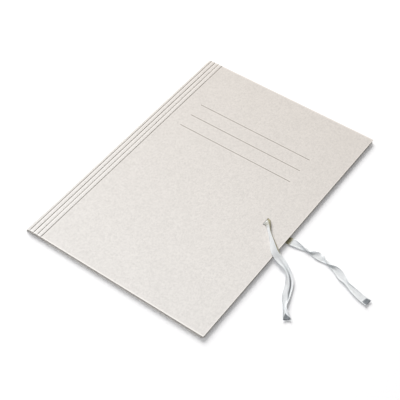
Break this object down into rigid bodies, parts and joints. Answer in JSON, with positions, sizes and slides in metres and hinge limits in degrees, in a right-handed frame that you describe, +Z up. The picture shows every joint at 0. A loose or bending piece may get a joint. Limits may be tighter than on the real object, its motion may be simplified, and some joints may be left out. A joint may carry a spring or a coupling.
{
  "type": "tie file folder",
  "caption": "Light grey board file folder with a creased expanding spine, pressed title lines, folded end flaps and two woven tape ties at the fore edge.",
  "frame": {"origin": "under the middle of the closed folder without its tapes, on the surface it lies on", "axes": "+X from the spine to the fore edge, +Y from the foot to the head, +Z up out of the front cover"},
  "size_m": [0.3309, 0.32, 0.0089],
  "materials": {
    "board": "matt uncoated grey-white board, lightly mottled",
    "tape": "woven white cotton tape",
    "paper": "matt gummed paper"
  },
  "bodies": {
    "back": {"back_cover": "board", "back_tape": "tape", "back_tape_patch": "paper"},
    "spine_1": {"spine_strip_1": "board"},
    "spine_2": {"spine_strip_2": "board"},
    "spine_3": {"spine_strip_3": "board"},
    "spine_4": {"spine_strip_4": "board"},
    "front": {"front_cover": "board", "front_tape": "tape", "front_tape_patch": "paper"},
    "top_flap": {"top_flap": "board"},
    "bottom_flap": {"bottom_flap": "board"}
  },
  "joints": [
    {"name": "cover_open", "type": "hinge", "parent": "back", "child": "spine_1", "pos_m": [-0.11219, 0, 0.0006], "axis": [0, -1, 0], "range_deg": [0, 120]},
    {"name": "crease_1", "type": "hinge", "parent": "spine_1", "child": "spine_2", "pos_m": [-0.10786, 0, 0.0031], "axis": [0, -1, 0], "range_deg": [0, 30], "stiffness_Nm_per_rad": 0.2},
    {"name": "crease_2", "type": "hinge", "parent": "spine_2", "child": "spine_3", "pos_m": [-0.10286, 0, 0.0031], "axis": [0, -1, 0], "range_deg": [0, 10], "stiffness_Nm_per_rad": 0.2},
    {"name": "crease_3", "type": "hinge", "parent": "spine_3", "child": "spine_4", "pos_m": [-0.09786, 0, 0.0031], "axis": [0, -1, 0], "range_deg": [0, 10], "stiffness_Nm_per_rad": 0.2},
    {"name": "crease_4", "type": "hinge", "parent": "spine_4", "child": "front", "pos_m": [-0.09286, 0, 0.0031], "axis": [0, -1, 0], "range_deg": [0, 10], "stiffness_Nm_per_rad": 0.2},
    {"name": "top_flap_fold", "type": "hinge", "parent": "back", "child": "top_flap", "pos_m": [0, 0.1603, 0.00075], "axis": [-1, 0, 0], "range_deg": [0, 180]},
    {"name": "bottom_flap_fold", "type": "hinge", "parent": "back", "child": "bottom_flap", "pos_m": [0, -0.1603, 0.00075], "axis": [1, 0, 0], "range_deg": [0, 180]}
  ],
  "couplings": [
    {"joint": "top_flap_fold", "follows": "cover_open", "ratio": 1.5},
    {"joint": "bottom_flap_fold", "follows": "cover_open", "ratio": 1.5}
  ]
}
